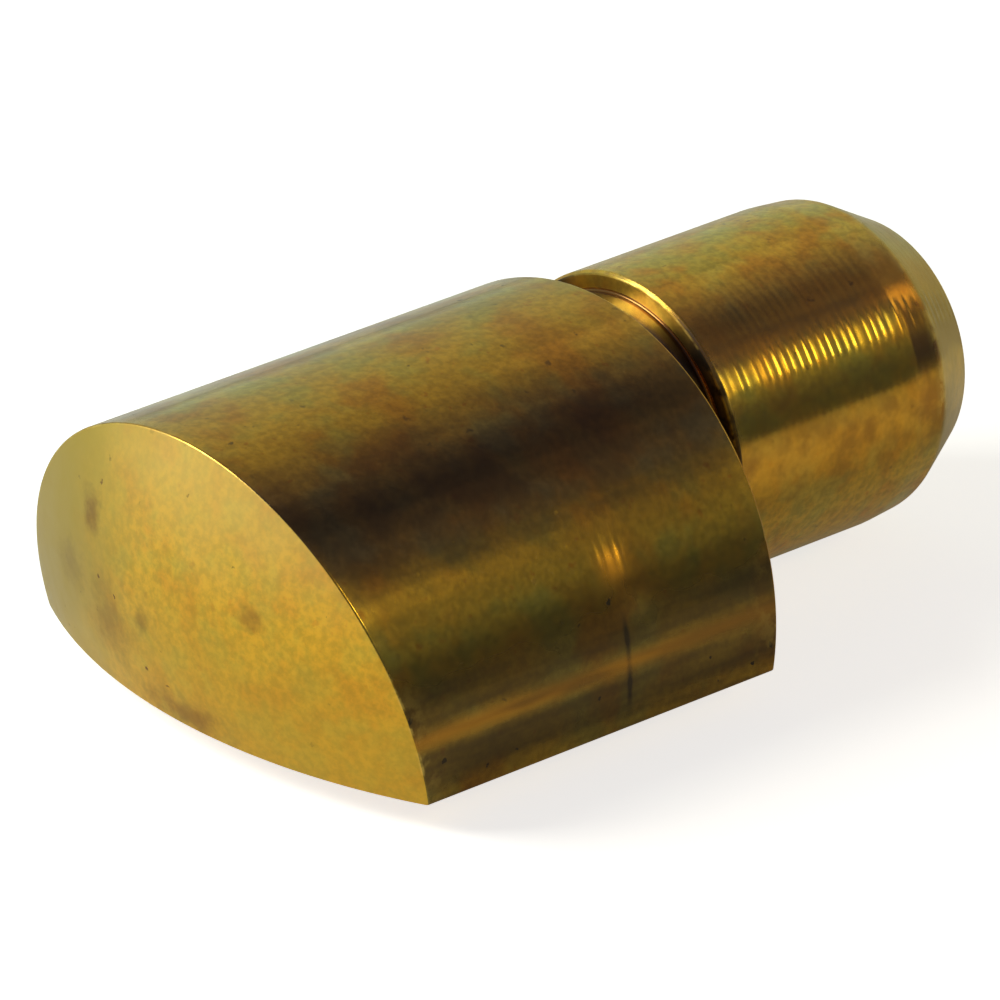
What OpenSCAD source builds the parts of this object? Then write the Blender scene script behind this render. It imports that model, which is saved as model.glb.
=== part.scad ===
// Shelf support pin, turned and milled from one piece of brass bar.
// It lies as it does under a shelf turned over: the milled flat faces down (-Z) and the pin
// points along +X. The origin is on the centre line, where the plane of the flat (the shelf)
// meets the plane of the shoulder (the cabinet's wall). Millimetres.

/* [Head] */
// Diameter of the bar, which is the head's rounded side
head_d = 8; // [6.4:0.1:12]
// Length of the head, from its shoulder to the crest of its domed face
head_l = 8.05; // [6:0.05:14]
// Radius of the domed face
dome_r = 8.75; // [6:0.05:20]
// Height of the dome's centre above the flat
dome_z = 2.5; // [1:0.1:4]
// Width of the broken edge round the shoulder
shoulder_edge = 0.05; // [0.02:0.01:0.3]

/* [Shelf seat] */
// Distance from the pin's axis to the flat that carries the shelf
seat_drop = 2; // [1.5:0.05:2.4]

/* [Pin] */
// Diameter of the straight part, which slides into a 5 mm hole
pin_d = 4.85; // [4:0.05:6]
// Length of the pin, from the head's shoulder to its end face
pin_l = 5.75; // [4.5:0.05:12]

/* [Relief groove] */
// Width of the groove between the shoulder and the pin's straight part
groove_w = 0.65; // [0.3:0.05:1.5]
// Depth of the groove below the pin's surface
groove_depth = 0.3; // [0.1:0.05:0.6]
// Width of the broken edge where the straight part starts
groove_edge = 0.05; // [0.02:0.01:0.2]

/* [Lead-in] */
// Length of the slight taper that ends the straight part
lead_l = 0.6; // [0.2:0.05:1]
// Reduction in radius over the slight taper
lead_drop = 0.055; // [0.02:0.005:0.1]
// Length of the steep taper before the end face
nose_l = 0.95; // [0.3:0.05:1.5]
// Diameter of the end face
end_d = 3.7; // [2:0.05:4.5]

/* [Hidden] */
$fn = 180;

pin_r = pin_d / 2;
neck_r = pin_r - groove_depth;
// The head's crown is level with the pin's top, so the bar follows the pin.
crown_z = seat_drop + pin_r;
bar_r = head_d / 2;
bar_z = crown_z - bar_r;
nose_x = pin_l - nose_l;
lead_x = nose_x - lead_l;
// The stock runs on past the domed face before it is cut.
stock_l = head_l + dome_r;

// A solid of revolution about the X axis. Each point is [distance along the axis, radius].
module turned(profile) {
    rotate([0, 90, 0])
        rotate_extrude()
            polygon([for (p = profile) [p[1], p[0]]]);
}

// The bar on the outer side of the shoulder, with the shoulder's edge broken.
module bar() {
    turned([
        [-stock_l, 0],
        [-stock_l, bar_r],
        [-shoulder_edge, bar_r],
        [0, bar_r - shoulder_edge],
        [0, 0],
    ]);
}

// Half-round head: the bar, milled to its flat and domed over its outer face.
module head() {
    intersection() {
        translate([0, 0, bar_z]) bar();
        translate([-stock_l, -head_d, 0]) cube([2 * stock_l, 2 * head_d, 2 * head_d]);
        translate([dome_r - head_l, 0, dome_z]) sphere(r = dome_r);
    }
}

// Pin with its relief groove at the shoulder and a two-step taper at its end.
module shank() {
    translate([0, 0, seat_drop])
        turned([
            [-neck_r / 2, 0],
            [-neck_r / 2, neck_r / 2],
            [0, neck_r / 2],
            [0, neck_r],
            [groove_w, neck_r],
            [groove_w, pin_r - groove_edge],
            [groove_w + groove_edge, pin_r],
            [lead_x, pin_r],
            [nose_x, pin_r - lead_drop],
            [pin_l, end_d / 2],
            [pin_l, 0],
        ]);
}

module shelf_support_pin() {
    color("goldenrod")
        union() {
            head();
            shank();
        }
}

shelf_support_pin();
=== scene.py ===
"""Shelf support pin in solid brass: a half-round head with a domed end, and a turned pin."""

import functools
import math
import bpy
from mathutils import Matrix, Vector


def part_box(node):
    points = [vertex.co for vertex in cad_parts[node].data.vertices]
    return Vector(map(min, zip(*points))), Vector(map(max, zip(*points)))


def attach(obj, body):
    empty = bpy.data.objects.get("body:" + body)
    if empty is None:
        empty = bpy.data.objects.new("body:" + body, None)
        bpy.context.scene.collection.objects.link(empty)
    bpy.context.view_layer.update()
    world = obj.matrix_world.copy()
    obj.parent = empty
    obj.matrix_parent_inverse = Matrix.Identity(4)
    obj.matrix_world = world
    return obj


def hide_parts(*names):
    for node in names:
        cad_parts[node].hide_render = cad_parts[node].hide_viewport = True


bl_info = {
    "name": "Shelf Support Pin",
    "version": (1, 0, 0),
    "blender": (4, 5, 0),
    "location": "View3D > Sidebar > Shelf Pin",
    "description": "Builds a brass shelf support pin and the stage that it lies on",
    "category": "Add Mesh",
}

import bpy
import numpy as np
from bpy.props import FloatProperty, FloatVectorProperty, PointerProperty
from mathutils import Matrix, Vector

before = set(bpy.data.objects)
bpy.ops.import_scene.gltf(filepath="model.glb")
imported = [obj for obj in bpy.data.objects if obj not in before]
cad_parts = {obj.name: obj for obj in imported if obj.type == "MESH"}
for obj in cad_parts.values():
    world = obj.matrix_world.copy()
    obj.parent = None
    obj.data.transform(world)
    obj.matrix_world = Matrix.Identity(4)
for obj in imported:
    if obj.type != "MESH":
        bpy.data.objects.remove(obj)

NODE = "shelf_support_pin"
BODY = "root"
MM = 0.001

# The faces of the part, in the order of its material slots.
DRAWN, FACED, TURNED, MILLED = range(4)

# How round an edge is, as a share of its broken width.
EDGE_ROUND = 0.35
# How far the corners without a broken edge of their own are rounded off.
GROOVE_ROUND, LEAD_ROUND, NOSE_ROUND = 0.05 * MM, 0.1 * MM, 0.07 * MM
# The most of the shorter side next to a corner that its rounding may take.
ROUND_MOST = 0.4
# How far a ring stands outside a rounding: a share of it, a little more, and at the most this
# share of the shorter side.
HOLD_SHARE, HOLD_MORE, HOLD_MOST = 0.25, 0.004 * MM, 0.1
# How much of an outer edge the first and the last ring of its rounding are.
EDGE_FADE = 0.4
# How far inside the rim the dome's last plain ring is, in rim roundings.
RIM_MARGIN = 2.2

# The points of the head's outline over the crown, round a long corner, and along the outer
# parts and the middle of the flat.
CROWN_POINTS, CORNER_POINTS, SIDE_POINTS, MIDDLE_POINTS = 281, 8, 25, 13
DOME_RINGS = 24


# ---------------------------------------------------------------- settings


def length(name, description, millimetres):
    """A length property, stated in millimetres and kept in metres."""
    return FloatProperty(
        name=name,
        description=description,
        default=millimetres * MM,
        min=0.0,
        unit="LENGTH",
        precision=5,
    )


def colour(name, description, rgb):
    """A linear colour property."""
    return FloatVectorProperty(
        name=name,
        description=description,
        default=rgb,
        size=3,
        min=0.0,
        max=1.0,
        subtype="COLOR",
    )


def share(name, description, default, most=1.0):
    """A plain number from 0 to most."""
    return FloatProperty(
        name=name, description=description, default=default, min=0.0, max=most
    )


def place(name, description, millimetres):
    """A place, stated in millimetres and kept in metres."""
    return FloatVectorProperty(
        name=name,
        description=description,
        default=[c * MM for c in millimetres],
        unit="LENGTH",
        precision=6,
    )


def rotation(name, description, degrees):
    """An angle, stated in degrees and kept in radians."""
    return FloatProperty(
        name=name,
        description=description,
        default=math.radians(degrees),
        unit="ROTATION",
    )


class ShelfPinSizes(bpy.types.PropertyGroup):
    """The lengths of the part, as its construction has them."""

    head_d: length("Head diameter", "Diameter of the bar that the head is cut from", 8)
    head_l: length("Head length", "From the shoulder to the crest of the dome", 8.05)
    dome_r: length("Dome radius", "Radius of the domed end", 8.75)
    dome_z: length("Dome height", "Height of the dome's centre above the flat", 2.5)
    seat_drop: length("Seat drop", "From the pin's axis down to the flat", 2)
    pin_d: length("Pin diameter", "Diameter of the pin's straight part", 4.85)
    pin_l: length("Pin length", "From the shoulder to the pin's end face", 5.75)
    groove_w: length("Groove width", "Width of the relief groove", 0.65)
    groove_depth: length("Groove depth", "Depth of the relief groove", 0.3)
    lead_l: length("Lead length", "Length of the slight taper", 0.6)
    lead_drop: length("Lead drop", "Loss of radius over the slight taper", 0.055)
    nose_l: length("Nose length", "Length of the steep taper", 0.95)
    end_d: length("End diameter", "Diameter of the pin's end face", 3.7)
    shoulder_edge: length("Shoulder edge", "Broken edge round the shoulder", 0.05)
    groove_edge: length("Groove edge", "Broken edge where the pin starts", 0.05)
    rim_round: length("Rim rounding", "How far the dome's rim is rounded off", 0.03)
    flat_corner: length("Flat corner", "Radius of the flat's long corners", 0.05)


class ShelfPinFinish(bpy.types.PropertyGroup):
    """The colours and the sheen of the brass."""

    brass: colour("Brass", "Clean brass", (0.81, 0.49, 0.05))
    # Bronze is also painted light: the brighter line along the bar and two warm bands of
    # reflection on the pin.
    bronze_and_warm_light: colour("Bronze", "Warm tarnish in the blotches", (0.71, 0.335, 0.028))
    olive: colour("Olive", "Cool tarnish in the blotches", (0.66, 0.5, 0.08))
    # Painted shade on the domed end: darker and olive low down and on its +Y side.
    dimmed: colour("Dulled", "Brass that has gone olive on the domed end", (0.58, 0.4, 0.035))
    # A darker grey laid over the groove's neck.
    neck_grey: colour("Residue", "Pale grey film in the groove", (0.33, 0.28, 0.19))
    # Stain also paints shade: in the groove's far corner, on the slight taper and under the pin's
    # highlight.
    stain_and_shade: colour("Stain", "Brown smudges and clouds", (0.25, 0.11, 0.02))
    # Dark is also painted shade: on the groove's far wall and low on each side of the bar.
    dark: colour("Dark", "The groove's wall and the skin low on the bar", (0.06, 0.045, 0.024))
    # Painted highlight on the domed end: paler high up.
    pale: colour("Pale", "Paler brass high on the domed end", (0.88, 0.58, 0.17))
    rubbed: colour("Rubbed", "Bright metal on edges that rub", (0.92, 0.66, 0.14))
    bar_rough: share("Bar roughness", "Roughness of the drawn side", 0.13)
    dome_rough: share("Dome roughness", "Roughness of the domed end", 0.36)
    pin_rough: share("Pin roughness", "Roughness of the turned pin", 0.19)
    turned_spread: share("Turned spread", "How much wider gloss spreads along the pin", 0.7)
    flat_rough: share("Flat roughness", "Roughness of the milled flat", 0.24)
    # Strength of the painted shade low on each side of the bar.
    skin: share("Skin", "Brown skin left low on the sides of the bar", 1.0)
    lacquer: share("Lacquer", "Weight of the thin dull lacquer over the brass", 0.55)
    pin_lacquer: share("Pin lacquer", "Weight of the same lacquer on the turned pin", 0.7)
    lacquer_rough: share("Lacquer roughness", "Roughness of the lacquer", 0.5)


class ShelfPinStage(bpy.types.PropertyGroup):
    """The floor, the light and the camera."""

    # The floor's two colours are painted light: cooler where a cool light falls from behind,
    # warmer where a warm light falls in front.
    floor_behind: colour("Floor behind", "Colour of the floor behind", (0.76, 0.84, 0.77))
    floor_front: colour("Floor in front", "Colour of the floor in front", (0.84, 0.79, 0.72))
    floor_fade: length("Floor fade", "Distance over which the floor's colours blend", 12)
    floor_fill: share("Floor fill", "White added to the floor in the picture", 0.72)
    floor_glow: share("Floor glow", "White added to the floor in reflections", 0.07)
    floor_half: length("Floor half", "Half the side of the square floor", 100)
    cool: colour("Cool wall", "Colour of the wall behind the part", (0.79, 1.0, 0.88))
    warm: colour("Warm wall", "Colour of the ceiling and of the front", (1.0, 0.86, 0.55))
    dusk: colour("Dusk", "Colour of the dim strip above", (0.5, 0.42, 1.0))
    end_wall: share("End wall", "Brightness of the walls at the two ends of the part", 0.42)
    window_power: share("Window power", "Power of the window light in watts", 0.045, 10)
    window_place: place("Window place", "Where the window light stands", (-55, 40, 50))
    window_side: length("Window side", "Side of the square window light", 36)
    tube_power: share("Tube power", "Power of the upright tube in watts", 0.0285, 10)
    tube_place: place("Tube place", "Where the tube stands", (90.6, -132.7, 119.0))
    tube_width: length("Tube width", "Width of the tube", 14)
    tube_height: length("Tube height", "Height of the tube", 41)
    tube_tint: colour("Tube tint", "Colour of the tube's light", (1.0, 0.86, 0.4))
    glow_power: share("Glow power", "Power of the small warm lamp in watts", 0.0045, 10)
    glow_place: place("Glow place", "Where the small warm lamp stands", (164, -59, 98.2))
    glow_width: length("Glow width", "Width of the warm lamp", 26)
    glow_height: length("Glow height", "Height of the warm lamp", 46)
    glow_tint: colour("Glow tint", "Colour of the warm lamp's light", (1.0, 0.65, 0.3))
    card_power: share("Card power", "Power of the soft card over the pin in watts", 0.00018, 10)
    card_place: place("Card place", "Where the soft card stands", (32.5, 4, 28.9))
    card_width: length("Card width", "Width of the soft card", 32)
    card_height: length("Card height", "Height of the soft card", 14)
    card_tint: colour("Card tint", "Colour of the soft card's light", (1.0, 0.85, 0.9))
    camera_turn: rotation(
        "Camera turn", "Angle of the camera round the part, from -Y towards +X", -44.2295
    )
    camera_rise: rotation("Camera rise", "Angle of the camera above the floor", 26.0585)
    camera_roll: rotation("Camera roll", "Turn of the camera about its line of sight", 2.6524)
    camera_place: place(
        "Camera place", "Where the camera stands", (-121.088, -122.625, 85.355)
    )
    camera_lens: FloatProperty(
        name="Camera lens",
        description="Focal length in millimetres, on a sensor 36 mm wide",
        default=483.06,
        min=1.0,
    )


# ---------------------------------------------------------------- shape


def head_outline(s):
    """The head's section seen along the bar, as a closed ring of (y, z) points and their outward
    normals.

    The ring is an arc of the bar's circle over the crown, a small arc at each long corner and the
    straight flat at z = 0. The flat is split where the neck's circle crosses it.
    """
    bar_r, corner = s.head_d / 2, s.flat_corner
    bar_z = s.seat_drop + s.pin_d / 2 - bar_r
    corner_y = math.sqrt((bar_r - corner) ** 2 - (corner - bar_z) ** 2)
    turn = math.atan2(corner_y, corner - bar_z)
    neck_r = s.pin_d / 2 - s.groove_depth
    cross_y = math.sqrt(max(neck_r**2 - s.seat_drop**2, (0.1 * bar_r) ** 2))

    over = np.linspace(-turn, turn, CROWN_POINTS)
    bend = np.linspace(turn, math.pi, CORNER_POINTS + 1)[1:]
    flat = np.concatenate(
        [
            np.linspace(corner_y, cross_y, SIDE_POINTS + 1)[1:],
            np.linspace(cross_y, -cross_y, MIDDLE_POINTS + 1)[1:],
            np.linspace(-cross_y, -corner_y, SIDE_POINTS + 1)[1:],
        ]
    )

    def outward(angle):
        return np.stack([np.sin(angle), np.cos(angle)], 1)

    normals = [outward(over), outward(bend), outward(0 * flat + math.pi)]
    points = [
        normals[0] * bar_r + [0, bar_z],
        normals[1] * corner + [corner_y, corner],
        np.stack([flat, 0 * flat], 1),
    ]
    normals.append(outward(-bend[-2::-1]))
    points.append(normals[-1] * corner + [-corner_y, corner])
    return np.concatenate(points), np.concatenate(normals)


def dome_x(s, y, z):
    """Distance along the bar of the domed end: the near side of a sphere of radius dome_r."""
    rise = y**2 + (z - s.dome_z) ** 2
    return s.dome_r - s.head_l - np.sqrt(s.dome_r**2 - rise)


def ring(x, yz):
    """A ring of points (x, y, z), from one x or one for each point."""
    return np.concatenate([np.broadcast_to(x, len(yz))[:, None], yz], axis=1)


def rounded(before, corner, after, reach, steps=6):
    """The rings that carry a surface round a corner.

    Each point follows the curve (1-t)^2 A + 2 t (1-t) C + t^2 B from A, which is reach before the
    corner C, to B, which is reach after it. A ring just outside A and B keeps the faces next to
    them flat.
    """
    back, on = before - corner, after - corner
    back_l = np.linalg.norm(back, axis=1, keepdims=True)
    on_l = np.linalg.norm(on, axis=1, keepdims=True)
    shorter = np.minimum(back_l, on_l)
    reach = np.minimum(reach, ROUND_MOST * shorter)
    hold = np.minimum(HOLD_SHARE * reach + HOLD_MORE, HOLD_MOST * shorter)
    back, on = back / np.maximum(back_l, 1e-12), on / np.maximum(on_l, 1e-12)
    t = np.linspace(0, 1, steps + 1)[:, None, None]
    a, b = corner + back * reach, corner + on * reach
    bend = (1 - t) ** 2 * a + 2 * t * (1 - t) * corner + t**2 * b
    first, last = a + back * hold, b + on * hold
    return np.concatenate([first[None], bend, last[None]])


def between(a, b, count):
    """count rings spaced evenly between rings a and b, without a and b."""
    t = np.linspace(0, 1, count + 2)[1:-1, None, None]
    return (1 - t) * a + t * b


def dome_rings(s, axis, inner):
    """The domed end inside its rim: DOME_RINGS rings, spaced evenly from its middle on the axis
    to the inner ring, with x from dome_x."""
    out = np.linspace(0, 1, DOME_RINGS + 2)[1:-1, None, None]
    return np.stack([ring(dome_x(s, *yz.T), yz) for yz in axis + out * (inner - axis)])


def pin_rings(s):
    """The whole surface as rings from the dome's middle to the pin's end, with each ring's face
    and how much of an outer edge it is.

    Every ring is cut by the same rays from the pin's axis, so ring and ray are the surface's two
    parameters. Along a ray it runs over the dome, the rim, the bar's side, the shoulder, the
    groove, the pin and its two tapers. A station is one ring of corners, how far they are
    rounded, and 1 on an outer edge.
    """
    outline, normal = head_outline(s)
    axis = np.array([0.0, s.seat_drop])
    ray = outline - axis
    far = np.linalg.norm(ray, axis=1, keepdims=True)
    unit = ray / far

    def circle(x, radius):
        return ring(x, axis + unit * radius)

    pin_r = s.pin_d / 2
    neck_r = pin_r - s.groove_depth
    nose_x = s.pin_l - s.nose_l
    lead_x = nose_x - s.lead_l
    edge = s.shoulder_edge
    groove_start = s.groove_w + s.groove_edge

    inner = axis + ray * (1 - RIM_MARGIN * s.rim_round / far)
    stations = [
        (ring(dome_x(s, *inner.T), inner), 0, 0),
        (ring(dome_x(s, *outline.T), outline), s.rim_round, 1),
        (ring(-edge, outline), EDGE_ROUND * edge, 1),
        (ring(0.0, outline - normal * edge), EDGE_ROUND * edge, 1),
        (circle(0.0, neck_r), GROOVE_ROUND, 0),
        (circle(s.groove_w, neck_r), GROOVE_ROUND, 0),
        (circle(s.groove_w, pin_r - s.groove_edge), EDGE_ROUND * s.groove_edge, 1),
        (circle(groove_start, pin_r), EDGE_ROUND * s.groove_edge, 1),
        (circle(lead_x, pin_r), LEAD_ROUND, 0),
        (circle(nose_x, pin_r - s.lead_drop), NOSE_ROUND, 1),
        (circle(s.pin_l, s.end_d / 2), NOSE_ROUND, 1),
        (circle(s.pin_l, 0.0), 0, 0),
    ]
    # Rings laid between one station and the next, and the face that those rings are on.
    spans = [
        (2, FACED),
        (14, DRAWN),
        (0, TURNED),
        (5, TURNED),
        (2, TURNED),
        (0, TURNED),
        (0, TURNED),
        (14, TURNED),
        (3, TURNED),
        (4, TURNED),
        (5, FACED),
    ]

    rings = [dome_rings(s, axis, inner), stations[0][0][None]]
    faces, edges = [FACED] * (DOME_RINGS + 1), [0.0] * (DOME_RINGS + 1)
    for i, (count, face) in enumerate(spans[:-1]):
        (before, _, _), (corner, reach, outer), (after, _, _) = stations[i : i + 3]
        bend = rounded(before, corner, after, reach)
        rings += [between(rings[-1][-1], bend[0], count), bend]
        half = len(bend) // 2
        faces += [face] * (count + half) + [spans[i + 1][1]] * (len(bend) - half)
        fade = [EDGE_FADE * outer]
        edges += [0.0] * count + fade + [1.0 * outer] * (len(bend) - 2) + fade
    count, face = spans[-1]
    rings.append(between(rings[-1][-1], stations[-1][0], count))
    faces += [face] * count
    edges += [0.0] * count
    return np.concatenate(rings), np.array(faces), np.array(edges), outline


def grid_mesh(name, rings, poles):
    """A closed mesh: quads between neighbouring rings, and a fan of triangles to each pole."""
    count, around = rings.shape[:2]
    points = np.concatenate([rings.reshape(-1, 3), poles])
    j, i = np.meshgrid(np.arange(count - 1), np.arange(around), indexing="ij")
    n = (i + 1) % around
    quads = np.stack(
        [j * around + i, (j + 1) * around + i, (j + 1) * around + n, j * around + n], -1
    ).reshape(-1, 4)
    i = np.arange(around)
    n = (i + 1) % around
    top = np.stack([np.full(around, count * around), i, n], 1)
    base = (count - 1) * around
    end = np.stack([np.full(around, count * around + 1), base + n, base + i], 1)

    corners = np.concatenate([quads.ravel(), top.ravel(), end.ravel()])
    sizes = np.concatenate([np.full(len(quads), 4), np.full(2 * around, 3)])
    starts = np.concatenate([[0], np.cumsum(sizes)[:-1]])
    mesh = bpy.data.meshes.new(name)
    mesh.vertices.add(len(points))
    mesh.vertices.foreach_set("co", points.astype(np.float32).ravel())
    mesh.loops.add(len(corners))
    mesh.loops.foreach_set("vertex_index", corners.astype(np.int32))
    mesh.polygons.add(len(sizes))
    mesh.polygons.foreach_set("loop_start", starts.astype(np.int32))
    mesh.polygons.foreach_set("use_smooth", np.ones(len(sizes), bool))
    mesh.update(calc_edges=True)
    mesh.validate()
    return mesh


def build_pin(s):
    """Makes the part as one closed mesh in place of its CAD node."""
    rings, faces, edges, outline = pin_rings(s)
    count, around = rings.shape[:2]
    axis_z = s.seat_drop
    poles = np.array([[dome_x(s, 0.0, axis_z), 0.0, axis_z], [s.pin_l, 0.0, axis_z]])
    mesh = grid_mesh("ShelfSupportPin", rings, poles)
    part = bpy.data.objects.new("ShelfSupportPin", mesh)
    bpy.context.collection.objects.link(part)

    # The milled flat takes in the lowest part of each long corner.
    on_flat = outline[:, 1] < 0.4 * s.flat_corner
    kind = np.repeat(faces[1:, None], around, axis=1)
    kind[(kind == DRAWN) & (on_flat & np.roll(on_flat, -1))[None]] = MILLED
    kind = np.concatenate([kind.ravel(), np.full(around, FACED), np.full(around, FACED)])
    mesh.polygons.foreach_set("material_index", kind.astype(np.int32))

    worn = mesh.attributes.new("outer_edge", "FLOAT", "POINT")
    edges = np.concatenate([np.repeat(edges, around), [0, 0]])
    worn.data.foreach_set("value", edges.astype(np.float32))
    return part


# ---------------------------------------------------------------- finish


def put(tree, kind, wires=(), **settings):
    """Adds a node. wires maps an input's name or number to a value or to an output socket."""
    node = tree.nodes.new(kind)
    for key, value in settings.items():
        setattr(node, key, value)
    for key, value in dict(wires).items():
        if isinstance(value, bpy.types.NodeSocket):
            tree.links.new(value, node.inputs[key])
        else:
            node.inputs[key].default_value = value
    return node


def maths(tree, operation, *values):
    """The output of a Math node."""
    return put(tree, "ShaderNodeMath", dict(enumerate(values)), operation=operation).outputs[0]


def total(tree, values):
    """The sum of some values."""
    return functools.reduce(lambda a, b: maths(tree, "ADD", a, b), values)


def product(tree, *values):
    """The product of some values."""
    return functools.reduce(lambda a, b: maths(tree, "MULTIPLY", a, b), values)


def rescale(tree, value, low, high, to_low=0.0, to_high=1.0):
    """A value brought smoothly from low..high to to_low..to_high."""
    wires = {"Value": value, "From Min": low, "From Max": high}
    wires.update({"To Min": to_low, "To Max": to_high})
    node = put(tree, "ShaderNodeMapRange", wires, interpolation_type="SMOOTHSTEP")
    return node.outputs["Result"]


def hump(tree, value, centre, reach):
    """1 where a value is at the centre, falling smoothly to 0 at the reach on either side."""
    far = maths(tree, "ABSOLUTE", maths(tree, "SUBTRACT", value, centre))
    return rescale(tree, far, 0.0, reach, 1.0, 0.0)


def band(tree, value, low, high, soft):
    """1 where a value lies between low and high, with soft ends."""
    above = rescale(tree, value, low - soft, low + soft)
    below = rescale(tree, value, high - soft, high + soft, 1.0, 0.0)
    return product(tree, above, below)


def blend(tree, amount, a, b):
    """Colour a changed to colour b by an amount."""
    return put(tree, "ShaderNodeMix", {0: amount, 6: a, 7: b}, data_type="RGBA").outputs[2]


def noise(tree, place, scale, detail=2.0, shift=0.0, output="Fac"):
    """A noise over a place in mm. shift moves it, so that two noises differ."""
    moved = put(tree, "ShaderNodeVectorMath", {0: place, 1: (shift, -shift, shift)})
    wires = {"Vector": moved.outputs[0], "Scale": scale, "Detail": detail, "Roughness": 0.6}
    return put(tree, "ShaderNodeTexNoise", wires).outputs[output]


def new_group(name, inputs, outputs):
    """An empty node group with its sockets. Each input is (name, kind, default)."""
    tree = bpy.data.node_groups.new(name, "ShaderNodeTree")
    for label, kind, default in inputs:
        socket = tree.interface.new_socket(label, in_out="INPUT", socket_type=kind)
        if default is not None:
            socket.default_value = default
    for label, kind in outputs:
        tree.interface.new_socket(label, in_out="OUTPUT", socket_type=kind)
    return tree, tree.nodes.new("NodeGroupInput").outputs, tree.nodes.new("NodeGroupOutput").inputs


FLOAT, COLOR, VECTOR = "NodeSocketFloat", "NodeSocketColor", "NodeSocketVector"


def tone_group():
    """Brass with soft blotches of warm and cool tarnish, and a fine grain. Place is in mm.

    Cloud is above 0 in a warm blotch and below 0 in a cool one.
    """
    tree, given, out = new_group(
        "Brass Tone",
        [
            ("Place", VECTOR, None),
            ("Brass", COLOR, (0.8, 0.5, 0.1, 1)),
            ("Bronze", COLOR, (0.6, 0.3, 0.1, 1)),
            ("Olive", COLOR, (0.6, 0.5, 0.1, 1)),
            ("Blotch Size", FLOAT, 0.5),
            ("Blotch Strength", FLOAT, 0.5),
            ("Grain Strength", FLOAT, 0.2),
        ],
        [("Color", COLOR), ("Cloud", FLOAT)],
    )
    often = maths(tree, "DIVIDE", 1.0, given["Blotch Size"])
    blotch_from, blotch_full = 0.44, 0.68
    warm = noise(tree, given["Place"], often, 2.0)
    warm = rescale(tree, warm, blotch_from, blotch_full)
    finer = product(tree, often, 1.2)
    cool = noise(tree, given["Place"], finer, 2.0, 7.3)
    cool = rescale(tree, cool, blotch_from, blotch_full)
    fleck = rescale(tree, noise(tree, given["Place"], 5.0, 2.0, 4.7), 0.62, 0.74)
    grain = noise(tree, given["Place"], 8.0, 3.0, 3.1)
    amount = given["Blotch Strength"]
    warm_share = product(tree, maths(tree, "MAXIMUM", warm, fleck), amount)
    shade = blend(tree, warm_share, given["Brass"], given["Bronze"])
    shade = blend(tree, product(tree, cool, amount), shade, given["Olive"])
    dust = rescale(tree, grain, 0.3, 0.7, -1.0, 1.0)
    dust = maths(tree, "MULTIPLY_ADD", dust, given["Grain Strength"], 1.0)
    scaled = put(tree, "ShaderNodeVectorMath", {0: shade, "Scale": dust}, operation="SCALE")
    tree.links.new(scaled.outputs[0], out["Color"])
    tree.links.new(maths(tree, "SUBTRACT", warm, cool), out["Cloud"])
    return tree


def marks_group():
    """The height of tool marks, from -1 to 1: ridges that come once a pitch, with uneven spaces
    and depths, and that fade in and out along their length. Distance is measured across them."""
    tree, given, out = new_group(
        "Tool Marks",
        [
            ("Distance", FLOAT, 0.0),
            ("Place", VECTOR, None),
            ("Pitch", FLOAT, 0.17),
            ("Uneven", FLOAT, 0.5),
        ],
        [("Height", FLOAT)],
    )
    count = maths(tree, "DIVIDE", given["Distance"], given["Pitch"])

    def feed(scale, shift):
        wires = {"W": maths(tree, "ADD", count, shift), "Scale": scale, "Detail": 1.0}
        return put(tree, "ShaderNodeTexNoise", wires, noise_dimensions="1D").outputs["Fac"]

    jitter = product(tree, feed(0.6, 0.0), given["Uneven"])
    turns = product(tree, maths(tree, "ADD", count, jitter), 2 * math.pi)
    ridge = maths(tree, "SINE", turns)
    depth = rescale(tree, feed(0.9, 31.0), 0.3, 0.7, 0.35, 1.0)
    fade = rescale(tree, noise(tree, given["Place"], 1.2, 1.0), 0.3, 0.6, 0.45, 1.0)
    tree.links.new(product(tree, ridge, depth, fade), out["Height"])
    return tree


def specks_group():
    """A mask of scattered small marks: round spots of uneven size with ragged edges.

    Spacing is in mm, and Size is the largest spot's radius as a share of it.
    """
    tree, given, out = new_group(
        "Specks",
        [("Place", VECTOR, None), ("Spacing", FLOAT, 1.0), ("Size", FLOAT, 0.12)],
        [("Mask", FLOAT)],
    )
    ragged = noise(tree, given["Place"], 9.0, output="Color")
    nudge = put(tree, "ShaderNodeVectorMath", {0: ragged, "Scale": 0.16}, operation="SCALE")
    place = put(tree, "ShaderNodeVectorMath", {0: given["Place"], 1: nudge.outputs[0]})
    cells = put(
        tree,
        "ShaderNodeTexVoronoi",
        {"Vector": place.outputs[0], "Scale": maths(tree, "DIVIDE", 1.0, given["Spacing"])},
    )
    pick = put(tree, "ShaderNodeSeparateColor", {"Color": cells.outputs["Color"]}).outputs
    size = product(tree, given["Size"], pick[0])
    spot = rescale(tree, cells.outputs["Distance"], product(tree, size, 0.4), size, 1, 0)
    tree.links.new(product(tree, spot, pick[1]), out["Mask"])
    return tree


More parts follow.
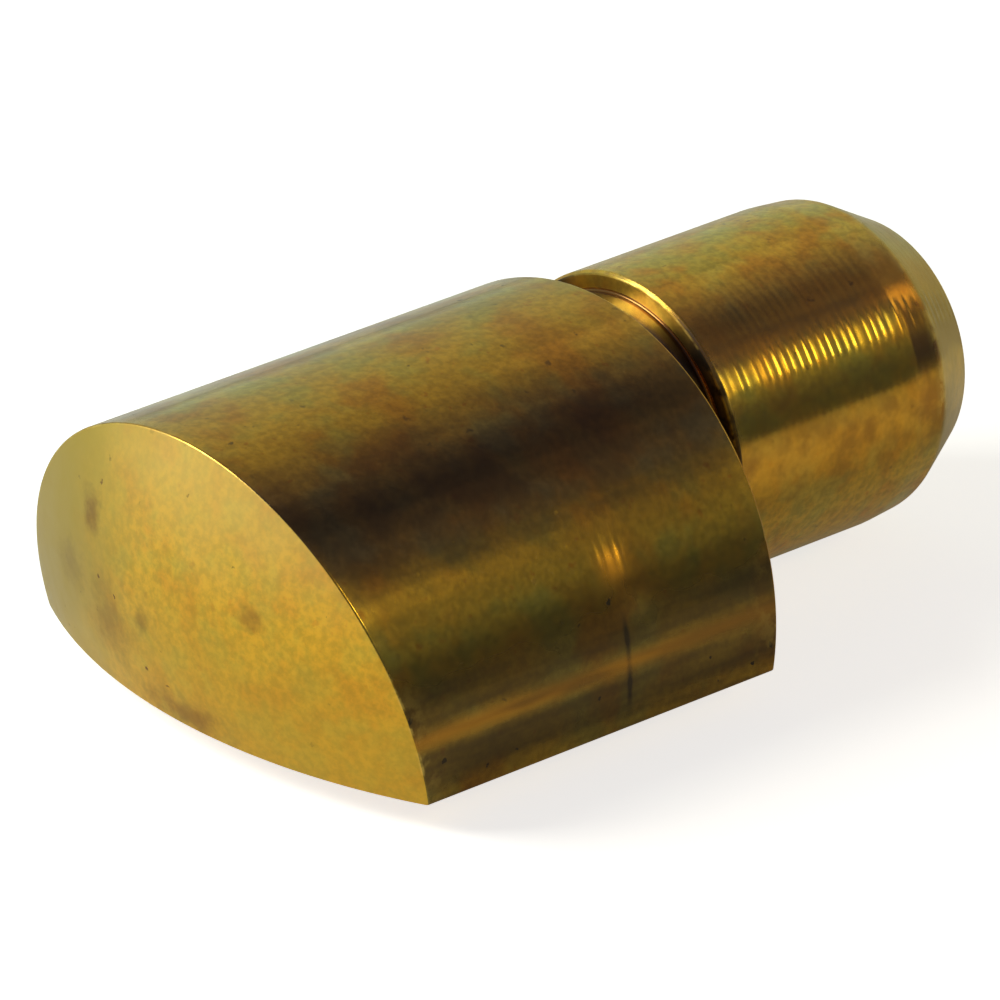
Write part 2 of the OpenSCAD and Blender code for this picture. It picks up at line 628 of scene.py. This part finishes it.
def smudge_group():
    """A mask of one smudge: an oval with a soft, ragged edge. All lengths are in mm."""
    tree, given, out = new_group(
        "Smudge",
        [
            ("Place", VECTOR, None),
            ("Centre", VECTOR, (0, 0, 0)),
            ("Reach", VECTOR, (1, 1, 1)),
            ("Strength", FLOAT, 0.5),
        ],
        [("Mask", FLOAT)],
    )
    off = put(
        tree,
        "ShaderNodeVectorMath",
        {0: given["Place"], 1: given["Centre"]},
        operation="SUBTRACT",
    )
    shares = put(
        tree,
        "ShaderNodeVectorMath",
        {0: off.outputs[0], 1: given["Reach"]},
        operation="DIVIDE",
    )
    far = put(tree, "ShaderNodeVectorMath", {0: shares.outputs[0]}, operation="LENGTH")
    ragged = rescale(tree, noise(tree, given["Place"], 3.0, 3.0, 5.0), 0.25, 0.75, -0.4, 0.4)
    edge = maths(tree, "ADD", far.outputs["Value"], ragged)
    spot = rescale(tree, edge, 0.0, 1.5, 1.0, 0.0)
    tree.links.new(product(tree, spot, given["Strength"]), out["Mask"])
    return tree


# How bright an outer edge is rubbed, and what a warm blotch and the last colour layer add to
# roughness.
EDGE_RUBBED, CLOUD_ROUGH, LAST_LAYER_ROUGH = 0.5, 0.03, 0.2
# The angle from the crown, in degrees, of the brighter line painted along the bar: a painted
# reflection.
REFLECTED_LINE = 81.3
# The tool's feed in mm, which is the pitch of the rings on the pin.
FEED = 0.15
# A reach in mm that takes a smudge right through the part along X.
THROUGH = 50.0
# The bruise: its place along the bar in mm, its angle from the crown in degrees, and the height
# in mm to which it is raised.
BRUISE_X, BRUISE_ANGLE, BRUISE_HEIGHT = -2.68, 65.0, 0.028
# The angle from the crown, in degrees, at which the painted shade low on the bar starts.
SHADING_FROM = 61.0


class BrassTree:
    """The node tree of one brass material, with the place on the part in mm."""

    def __init__(self, name, sizes, finish, groups):
        self.material = bpy.data.materials.new(name)
        self.material.use_nodes = True
        self.tree = self.material.node_tree
        self.tree.nodes.clear()
        self.finish, self.groups = finish, groups
        at = put(self.tree, "ShaderNodeTexCoord").outputs["Object"]
        self.place = put(
            self.tree, "ShaderNodeMapping", {"Vector": at, "Scale": (1 / MM,) * 3}
        ).outputs[0]
        self.x, self.y, self.z = put(
            self.tree, "ShaderNodeSeparateXYZ", {0: self.place}
        ).outputs[:3]
        self.bar_r = sizes.head_d / 2 / MM
        self.bar_z = (sizes.seat_drop + sizes.pin_d / 2) / MM - self.bar_r
        self.pin_z = sizes.seat_drop / MM
        self.groove_w = sizes.groove_w / MM
        self.nose_x = (sizes.pin_l - sizes.nose_l) / MM
        self.lead_x = self.nose_x - sizes.lead_l / MM
        self.neck_r = (sizes.pin_d / 2 - sizes.groove_depth) / MM

    def group(self, name, **inputs):
        """The outputs of a node group. inputs are named with _ in place of a space."""
        wires = {key.replace("_", " "): value for key, value in inputs.items()}
        wires = {"Place": self.place, **wires}
        return put(self.tree, "ShaderNodeGroup", wires, node_tree=self.groups[name]).outputs

    def angle(self, axis_z):
        """The angle in degrees round an axis at that height: 0 on top, 90 on the -Y side."""
        up = maths(self.tree, "SUBTRACT", self.z, axis_z)
        side = product(self.tree, self.y, -1.0)
        return product(self.tree, maths(self.tree, "ARCTAN2", side, up), 180 / math.pi)

    def across(self, kind):
        """The distance across rings, arcs or lines, and the place along which they fade."""
        tree = self.tree
        if kind == "rings":
            distance, stretch = self.x, (0.1, 1.0, 1.0)
        elif kind == "lines":
            arc = self.bar_r * math.pi / 180
            distance = product(tree, self.angle(self.bar_z), arc)
            stretch = (0.15, 1.0, 1.0)
        else:
            up = maths(tree, "SUBTRACT", self.z, self.pin_z)
            square = product(tree, up, up)
            distance = maths(tree, "SQRT", maths(tree, "MULTIPLY_ADD", self.y, self.y, square))
            stretch = (1.0, 1.0, 1.0)
        return distance, put(
            tree, "ShaderNodeMapping", {"Vector": self.place, "Scale": stretch}
        ).outputs[0]

    def marks(self, kind, pitch, height, uneven=0.5):
        """The height in mm of tool marks over the whole face."""
        distance, along = self.across(kind)
        ridge = self.group("marks", Distance=distance, Place=along, Pitch=pitch, Uneven=uneven)
        return product(self.tree, ridge[0], height)

    def dimples(self, often, height):
        """The height in mm of a fine unevenness, with so many dimples to the mm."""
        return product(self.tree, noise(self.tree, self.place, often, 3.0), height)

    def finished(self, rough, tone, heights, colour_layers, spread=0.0, lacquer=None):
        """Joins it all into one brass shader. tone is (tint, blotch size, blotch strength,
        grain). heights are in mm and are added up. colour_layers are (mask, colour), some of them
        painted shade and some painted light, and are laid one over the other, and the last one is
        rougher than the rest. spread is how much wider the gloss is along the pin than round it,
        and lacquer is the lacquer's weight where it isn't the usual one."""
        tree, finish = self.tree, self.finish
        tint, size, strength, grain = tone
        look = self.group(
            "tone",
            Brass=[*(c * k for c, k in zip(finish.brass, tint)), 1],
            Bronze=[*(c * k for c, k in zip(finish.bronze_and_warm_light, tint)), 1],
            Olive=[*(c * k for c, k in zip(finish.olive, tint)), 1],
            Blotch_Size=size,
            Blotch_Strength=strength,
            Grain_Strength=grain,
        )
        edge = put(
            tree,
            "ShaderNodeAttribute",
            attribute_type="GEOMETRY",
            attribute_name="outer_edge",
        ).outputs["Fac"]
        patchy = rescale(tree, noise(tree, self.place, 3.0, 3.0, 2.2), 0.47, 0.64)
        worn = product(tree, edge, patchy, EDGE_RUBBED)
        dimmed = product(tree, edge, maths(tree, "MULTIPLY_ADD", patchy, -0.06, 0.1))
        base = look["Color"]
        sheen = maths(tree, "MULTIPLY_ADD", look["Cloud"], CLOUD_ROUGH, rough)
        for mask, layer_colour in colour_layers:
            base = blend(tree, mask, base, (*layer_colour, 1))
        base = blend(tree, worn, base, (*finish.rubbed, 1))
        sheen = maths(tree, "ADD", sheen, dimmed)
        sheen = maths(tree, "MULTIPLY_ADD", colour_layers[-1][0], LAST_LAYER_ROUGH, sheen)
        bump = put(tree, "ShaderNodeBump", {"Height": total(tree, heights), "Distance": MM})
        shader = put(
            tree,
            "ShaderNodeBsdfPrincipled",
            {
                "Base Color": base,
                "Roughness": sheen,
                "Normal": bump.outputs[0],
                "Metallic": 1.0,
                "Coat Weight": finish.lacquer if lacquer is None else lacquer,
                "Coat Roughness": finish.lacquer_rough,
                "Anisotropic": spread,
                "Anisotropic Rotation": 0.25,
            },
        )
        if spread:
            tangent = put(tree, "ShaderNodeTangent", direction_type="RADIAL", axis="X")
            tree.links.new(tangent.outputs[0], shader.inputs["Tangent"])
        done = put(tree, "ShaderNodeOutputMaterial")
        tree.links.new(shader.outputs[0], done.inputs["Surface"])
        return self.material


def painted_low_shading(brass, low):
    """A mask of the painted shade low on the bar, darker towards the bottom: streaked along it,
    and thin along two lines of painted reflection. low is the angle from the crown in degrees."""
    tree = brass.tree
    along = brass.across("lines")[1]
    streaks = rescale(tree, noise(tree, along, 2.0, 3.0), 0.3, 0.7, 0.85, 1.0)
    skin = rescale(tree, low, SHADING_FROM, 73.0, 0.0, 0.92 * brass.finish.skin)
    lines = [hump(tree, low, centre, reach) for centre, reach in ((REFLECTED_LINE, 4.5), (95.5, 6.0))]
    thinner = rescale(tree, noise(tree, along, 2.5, 2.0, 6.0), 0.35, 0.6, -0.55, -0.2)
    left = maths(tree, "MULTIPLY_ADD", total(tree, lines), thinner, 1.0)
    return product(tree, skin, left, streaks)


def clouds_and_specks(brass, low):
    """A mask of the dark clouds that drift over each side of the bar, and one of the specks."""
    tree = brass.tree
    clouds = rescale(tree, noise(tree, brass.place, 0.8, 4.0, 1.7), 0.42, 0.62, 0.0, 0.6)
    specks = brass.group("specks", Spacing=0.3, Size=0.22)[0]
    return product(tree, clouds, hump(tree, low, 32.0, 34.0)), product(tree, specks, 0.7)


def drawn_bar(brass):
    """The bar's side: long faint draw lines, with painted shade low on each side and a painted
    reflection along it as a brighter line. Low on the -Y side it has one small bruise with ring
    marks, and a scratch below it."""
    tree, finish = brass.tree, brass.finish
    angle = brass.angle(brass.bar_z)
    low = maths(tree, "ABSOLUTE", angle)
    clouds, specks = clouds_and_specks(brass, low)
    scratch = band(tree, angle, 72.0, 90.0, 3.0)
    scratch = product(tree, scratch, hump(tree, brass.x, BRUISE_X - 0.22, 0.08), 0.18)
    bruise = hump(tree, brass.x, BRUISE_X, 0.6)
    bruise = product(tree, bruise, hump(tree, angle, BRUISE_ANGLE, 9.0))
    patch = hump(tree, brass.x, BRUISE_X - 0.25, 0.5)
    patch = product(tree, patch, hump(tree, angle, BRUISE_ANGLE - 3.5, 8.5))
    reflected_line = hump(tree, low, REFLECTED_LINE, 3.5)
    return brass.finished(
        maths(tree, "MULTIPLY_ADD", patch, 0.15, finish.bar_rough),
        ((0.95, 0.97, 0.95), 1.1, 0.95, 0.16),
        [
            brass.marks("lines", 0.35, 0.0008),
            brass.dimples(4.0, 0.0014),
            product(tree, bruise, BRUISE_HEIGHT),
            product(tree, brass.marks("rings", 0.17, 0.003, 0.2), patch),
        ],
        [
            # Bronze on the bruise's patch, and a painted reflection: the brighter line along the
            # bar.
            (maths(tree, "MAXIMUM", patch, reflected_line), finish.bronze_and_warm_light),
            (clouds, finish.stain_and_shade),
            # Dark: painted shade low on the bar, with the specks and the scratch.
            (total(tree, [painted_low_shading(brass, low), specks, scratch]), finish.dark),
        ],
        lacquer=rescale(tree, low, SHADING_FROM, 75.0, finish.lacquer, 0.15),
    )


def face_smudges(brass):
    """Masks of the smudges on the domed face, each from its middle and its half sizes in mm."""
    return [
        brass.group(
            "smudge",
            Centre=(0.0, y, z),
            Reach=(THROUGH, half_y, half_z),
            Strength=strength,
        )[0]
        for y, z, half_y, half_z, strength in (
            (1.86, 2.68, 0.22, 0.3, 0.75),
            (2.55, 1.5, 0.4, 0.4, 0.35),
            (1.45, 1.1, 0.5, 0.6, 0.4),
            (0.66, 1.45, 0.14, 0.22, 0.5),
            (-1.56, 2.35, 0.2, 0.22, 0.5),
            (-2.35, 1.5, 0.5, 0.4, 0.12),
            (-0.1, 0.25, 0.8, 0.25, 0.6),
        )
    ]


def faced_end(brass):
    """The domed face and the pin's end: dull, with faint arcs, blotches and a few smudges. It has
    a painted highlight, paler high up, and painted shade, darker and olive low down and on the
    +Y side."""
    tree, finish = brass.tree, brass.finish
    soft = product(tree, noise(tree, brass.place, 1.0, 2.0, 9.0), 1.2)
    across, up = (maths(tree, "ADD", value, soft) for value in (brass.y, brass.z))
    far_side = rescale(tree, across, 0.8, 3.2)
    low_side = product(tree, rescale(tree, up, 3.6, 1.2), 0.5)
    specks = brass.group("specks", Spacing=0.35, Size=0.17)[0]
    return brass.finished(
        finish.dome_rough,
        ((1.16, 1.12, 0.65), 0.7, 0.65, 0.14),
        [brass.marks("arcs", 0.5, 0.0012), brass.dimples(2.5, 0.003)],
        [
            # Painted highlight: paler high up.
            (rescale(tree, up, 2.6, 4.8, 0.0, 0.6), finish.pale),
            # Painted shade: darker and olive low down and on the +Y side.
            (maths(tree, "MAXIMUM", far_side, low_side), finish.dimmed),
            (total(tree, [*face_smudges(brass), specks]), finish.stain_and_shade),
        ],
    )


def groove_masks(brass, turn):
    """Masks of what is laid in the groove: a darker grey over its neck, painted shade in its far
    corner, and near-black painted shade on its far wall and the lip past it. The last one is 1
    all over the groove. turn is the angle round the pin from its top in degrees."""
    tree, groove_w = brass.tree, brass.groove_w
    radius = brass.across("arcs")[0]
    in_groove = rescale(tree, brass.x, groove_w + 0.008, groove_w + 0.02, 1.0, 0.0)
    on_wall = rescale(tree, radius, brass.neck_r + 0.04, brass.neck_r + 0.06)
    on_neck = maths(tree, "SUBTRACT", 1.0, on_wall)
    far_half = rescale(tree, brass.x, 0.5 * groove_w, 0.7 * groove_w)
    # Painted shade on the groove's far wall, fullest low down, and on the lip just past it.
    lower = rescale(tree, turn, 24.0, 40.0, 0.6, 1.0)
    wall = product(tree, in_groove, on_wall, lower, far_half)
    lip = rescale(tree, brass.x, groove_w + 0.05, groove_w + 0.08, 0.9, 0.0)
    lip = product(tree, lip, on_wall, far_half, rescale(tree, turn, 42.0, 52.0))
    # Painted shade in the groove's far corner.
    corner = rescale(tree, brass.x, groove_w - 0.09, groove_w - 0.06, 0.0, 0.9)
    corner = product(tree, in_groove, on_neck, corner)
    # A darker grey laid over the neck.
    neck_grey = product(tree, in_groove, on_neck, 0.85)
    return neck_grey, corner, maths(tree, "MAXIMUM", wall, lip), in_groove


def turned_pin(brass):
    """The pin: clean and bright, with the rings that the tool's feed leaves, two warm bands of
    painted reflection on each side, painted shade on the slight taper and under the rings'
    highlight, olive on the steep taper, and painted shade and a grey neck in its groove."""
    tree, finish = brass.tree, brass.finish
    turn = maths(tree, "ABSOLUTE", brass.angle(brass.pin_z))
    neck_grey, corner, wall, in_groove = groove_masks(brass, turn)
    # Painted reflection: two warm bands on each side of the pin.
    warm = [
        product(tree, hump(tree, turn, centre, reach), strength)
        for centre, reach, strength in ((38.0, 22.0, 0.7), (84.0, 28.0, 0.8))
    ]
    # Painted shade on the slight taper, in a band on each side.
    lead = rescale(tree, brass.x, brass.lead_x + 0.08, brass.lead_x + 0.14, 0.0, 0.75)
    lead = product(tree, lead, band(tree, turn, 48.0, 71.0, 4.0))
    cone = rescale(tree, brass.x, brass.nose_x - 0.03, brass.nose_x + 0.04, 0.0, 0.6)
    specks = brass.group("specks", Spacing=0.3, Size=0.2)[0]
    aged = rescale(tree, noise(tree, brass.place, 1.5, 3.0, 5.0), 0.4, 0.62)
    low_down = product(tree, hump(tree, turn, 86.0, 24.0), 0.6)
    aged = product(tree, aged, maths(tree, "MULTIPLY_ADD", cone, 0.5, low_down))
    # Painted shade just under the rings' highlight.
    under = product(tree, hump(tree, turn, 63.0, 7.0), 0.35)

    bare = maths(tree, "MAXIMUM", in_groove, hump(tree, turn, 88.0, 26.0))
    lacquer = rescale(tree, brass.x, brass.nose_x, brass.nose_x + 0.05, finish.pin_lacquer, 0.1)
    lacquer = product(tree, lacquer, maths(tree, "MULTIPLY_ADD", bare, -0.75, 1.0))
    settled = rescale(tree, brass.x, 1.4, 1.8, 0.55, 1.0)
    shown = rescale(tree, hump(tree, turn, 52.0, 12.0), 0.2, 0.7, 0.15, 1.0)
    feed = product(tree, brass.marks("rings", FEED, 0.0026, 0.3), settled, shown)
    return brass.finished(
        finish.pin_rough,
        ((1.13, 1.22, 1.1), 0.8, 0.9, 0.18),
        [feed, brass.dimples(4.0, 0.0006)],
        [
            (total(tree, warm), finish.bronze_and_warm_light),
            # Stain: painted shade on the slight taper and under the highlight, with the specks and
            # blotches.
            (total(tree, [lead, specks, aged, under]), finish.stain_and_shade),
            (cone, finish.olive),
            # The groove: a grey over its neck, painted shade in its far corner and on its far
            # wall.
            (neck_grey, finish.neck_grey),
            (corner, finish.stain_and_shade),
            (wall, finish.dark),
        ],
        finish.turned_spread,
        lacquer,
    )


def milled_flat(brass):
    """The flat that the shelf rests on, with the fine rows of a milling cutter across it."""
    return brass.finished(
        brass.finish.flat_rough,
        ((1.0,) * 3, 0.6, 0.4, 0.1),
        [brass.marks("rings", 0.3, 0.003), brass.dimples(7.0, 0.001)],
        [(brass.group("specks", Spacing=1.6, Size=0.1)[0], brass.finish.dark)],
    )


def dress_pin(part, sizes, finish):
    """Gives each face of the part its own working of the same brass."""
    groups = {
        "tone": tone_group(),
        "marks": marks_group(),
        "specks": specks_group(),
        "smudge": smudge_group(),
    }
    for name, work in (
        ("BrassDrawnBar", drawn_bar),
        ("BrassFacedEnd", faced_end),
        ("BrassTurnedPin", turned_pin),
        ("BrassMilledFlat", milled_flat),
    ):
        part.data.materials.append(work(BrassTree(name, sizes, finish, groups)))


# ---------------------------------------------------------------- stage


def build_floor(stage, level):
    """A wide pale floor at the part's lowest point. It keeps the part's shadow, and white is
    added to it for the camera and, less, for reflections."""
    half = stage.floor_half
    corners = [(-half, -half), (half, -half), (half, half), (-half, half)]
    mesh = bpy.data.meshes.new("Floor")
    mesh.from_pydata([(x, y, level) for x, y in corners], [], [(0, 1, 2, 3)])
    floor = bpy.data.objects.new("Floor", mesh)
    bpy.context.collection.objects.link(floor)

    material = bpy.data.materials.new("FloorPaper")
    material.use_nodes = True
    tree = material.node_tree
    tree.nodes.clear()
    at = put(tree, "ShaderNodeTexCoord").outputs["Object"]
    y = put(tree, "ShaderNodeSeparateXYZ", {0: at}).outputs[1]
    # Painted light: the floor is cooler behind and warmer in front, the tints of a cool light from
    # behind and a warm one from the front.
    behind = rescale(tree, y, -stage.floor_fade, stage.floor_fade)
    shade = blend(tree, behind, (*stage.floor_front, 1), (*stage.floor_behind, 1))
    paper = put(tree, "ShaderNodeBsdfDiffuse", {"Color": shade})
    path = put(tree, "ShaderNodeLightPath").outputs
    shiny = maths(tree, "MAXIMUM", path["Is Glossy Ray"], path["Is Transmission Ray"])
    first = product(tree, path["Is Camera Ray"], stage.floor_fill)
    glow = product(tree, shiny, stage.floor_glow)
    added = put(tree, "ShaderNodeEmission", {"Strength": maths(tree, "ADD", first, glow)})
    both = put(tree, "ShaderNodeAddShader", {0: paper.outputs[0], 1: added.outputs[0]})
    done = put(tree, "ShaderNodeOutputMaterial")
    tree.links.new(both.outputs[0], done.inputs["Surface"])
    mesh.materials.append(material)


def build_room(stage):
    """The room round the stage: a wall behind the part that fades into a dim ceiling and a dim
    front, and a paler wall past each end. The angle runs round the X axis from straight up, and
    is negative behind."""
    world = bpy.data.worlds.new("Room")
    bpy.context.scene.world = world
    world.use_nodes = True
    tree = world.node_tree
    tree.nodes.clear()
    toward = put(tree, "ShaderNodeTexCoord").outputs["Generated"]
    x, y, z = put(tree, "ShaderNodeSeparateXYZ", {0: toward}).outputs[:3]
    angle = maths(tree, "ARCTAN2", product(tree, y, -1.0), z)
    turn = maths(tree, "MULTIPLY_ADD", angle, 0.5 / math.pi, 0.5)
    ramp = put(tree, "ShaderNodeValToRGB", {0: turn})
    # The brightness at each angle in degrees, and the tint at each angle.
    stops = [
        (-120, 0.74),
        (-92, 0.6),
        (-80, 0.45),
        (-55, 0.41),
        (-43, 0.34),
        (-31, 0.26),
        (-19, 0.2),
        (-13, 0.17),
        (-7, 0.145),
        (0, 0.07),
        (10, 0.038),
        (29, 0.12),
        (41, 0.09),
        (53, 0.11),
        (62, 0.165),
        (71, 0.115),
        (77, 0.065),
        (95, 0.06),
    ]
    tints = [(-105, stage.cool), (-30, stage.warm), (0, stage.dusk), (35, stage.dusk)]
    olive = [(a + b) / 2 for a, b in zip(stage.cool, stage.warm)]
    tints += [(53, stage.warm), (66, olive)]
    turns, shades = [a for a, _ in tints], np.array([list(c) for _, c in tints])
    elements = ramp.color_ramp.elements
    while len(elements) < len(stops):
        elements.new(0.5)
    for element, (degrees, level) in zip(elements, stops):
        element.position = (degrees + 180) / 360
        tint = [float(np.interp(degrees, turns, shades[:, k])) for k in range(3)]
        element.color = (*(level * c for c in tint), 1)
    at_end = rescale(tree, maths(tree, "ABSOLUTE", x), 0.8, 0.98)
    pale = (*(stage.end_wall * (a + 3 * b) / 4 for a, b in zip(stage.cool, stage.warm)), 1)
    shade = blend(tree, at_end, ramp.outputs["Color"], pale)
    path = put(tree, "ShaderNodeLightPath").outputs["Is Camera Ray"]
    lit = put(tree, "ShaderNodeBackground", {"Color": shade})
    white = put(tree, "ShaderNodeBackground", {"Color": (1, 1, 1, 1), "Strength": 1.0})
    both = put(tree, "ShaderNodeMixShader", {0: path, 1: lit.outputs[0], 2: white.outputs[0]})
    done = put(tree, "ShaderNodeOutputWorld")
    tree.links.new(both.outputs[0], done.inputs["Surface"])


def add_lamp(name, place, width, height, power, tint=(1, 1, 1)):
    """A rectangular lamp that faces the part and that the camera doesn't see."""
    light = bpy.data.lights.new(name, "AREA")
    light.shape = "RECTANGLE"
    light.size, light.size_y, light.energy, light.color = width, height, power, tint
    lamp = bpy.data.objects.new(name, light)
    lamp.location = place
    lamp.rotation_euler = (-lamp.location).to_track_quat("-Z", "Y").to_euler()
    lamp.visible_camera = False
    bpy.context.collection.objects.link(lamp)
    return lamp


def place_camera(stage):
    """The camera stands at its place and looks along its own turn, rise and roll."""
    turn, rise, roll = stage.camera_turn, stage.camera_rise, stage.camera_roll
    back = Vector(
        (
            math.sin(turn) * math.cos(rise),
            -math.cos(turn) * math.cos(rise),
            math.sin(rise),
        )
    )
    side = Vector((math.cos(turn), math.sin(turn), 0))
    up = back.cross(side)
    right = math.cos(roll) * side + math.sin(roll) * up
    top = -math.sin(roll) * side + math.cos(roll) * up
    data = bpy.data.cameras.new("Camera")
    data.sensor_width = 36
    data.lens = stage.camera_lens
    data.clip_start, data.clip_end = 1 * MM, 20.0
    camera = bpy.data.objects.new("Camera", data)
    turned = Matrix((right, top, back)).transposed().to_4x4()
    camera.matrix_world = Matrix.Translation(Vector(stage.camera_place)) @ turned
    bpy.context.collection.objects.link(camera)
    bpy.context.scene.camera = camera


# ---------------------------------------------------------------- operators


class SHELFPIN_OT_pin(bpy.types.Operator):
    """Builds the brass pin with its half-round head"""

    bl_idname = "shelfpin.pin"
    bl_label = "Build the pin"

    def execute(self, context):
        part = build_pin(context.scene.shelf_pin_sizes)
        dress_pin(part, context.scene.shelf_pin_sizes, context.scene.shelf_pin_finish)
        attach(part, BODY)
        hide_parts(NODE)
        return {"FINISHED"}


class SHELFPIN_OT_stage(bpy.types.Operator):
    """Sets up the floor, the room, the lamps and the camera"""

    bl_idname = "shelfpin.stage"
    bl_label = "Set up the stage"

    def execute(self, context):
        stage = context.scene.shelf_pin_stage
        build_floor(stage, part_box(NODE)[0].z)
        build_room(stage)
        side = stage.window_side
        add_lamp("Window", stage.window_place, side, side, stage.window_power)
        tube = (stage.tube_width, stage.tube_height, stage.tube_power)
        add_lamp("Tube", stage.tube_place, *tube, stage.tube_tint)
        glow = (stage.glow_width, stage.glow_height, stage.glow_power)
        add_lamp("Glow", stage.glow_place, *glow, stage.glow_tint)
        card = (stage.card_width, stage.card_height, stage.card_power)
        add_lamp("Card", stage.card_place, *card, stage.card_tint)
        place_camera(stage)
        context.scene.view_settings.view_transform = "Standard"
        return {"FINISHED"}


class SHELFPIN_PT_panel(bpy.types.Panel):
    """Lists the sizes, the finish and the stage of the shelf pin"""

    bl_idname = "SHELFPIN_PT_panel"
    bl_label = "Shelf Pin"
    bl_space_type = "VIEW_3D"
    bl_region_type = "UI"
    bl_category = "Shelf Pin"

    def draw(self, context):
        scene = context.scene
        for label, group, operator in (
            ("Sizes", scene.shelf_pin_sizes, "shelfpin.pin"),
            ("Finish", scene.shelf_pin_finish, None),
            ("Stage", scene.shelf_pin_stage, "shelfpin.stage"),
        ):
            box = self.layout.box()
            box.label(text=label)
            for name in group.__annotations__:
                box.prop(group, name)
            if operator:
                box.operator(operator)


CLASSES = (
    ShelfPinSizes,
    ShelfPinFinish,
    ShelfPinStage,
    SHELFPIN_OT_pin,
    SHELFPIN_OT_stage,
    SHELFPIN_PT_panel,
)


def register():
    for kind in CLASSES:
        bpy.utils.register_class(kind)
    bpy.types.Scene.shelf_pin_sizes = PointerProperty(type=ShelfPinSizes)
    bpy.types.Scene.shelf_pin_finish = PointerProperty(type=ShelfPinFinish)
    bpy.types.Scene.shelf_pin_stage = PointerProperty(type=ShelfPinStage)


def unregister():
    del bpy.types.Scene.shelf_pin_stage
    del bpy.types.Scene.shelf_pin_finish
    del bpy.types.Scene.shelf_pin_sizes
    for kind in reversed(CLASSES):
        bpy.utils.unregister_class(kind)


def corners(box):
    """A box's two corners as plain lists."""
    return [[round(float(c), 6) for c in corner] for corner in box]


def main():
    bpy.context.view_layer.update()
    register()
    bpy.ops.shelfpin.pin()
    bpy.ops.shelfpin.stage()
    bpy.context.view_layer.update()


if __name__ == "__main__":
    main()
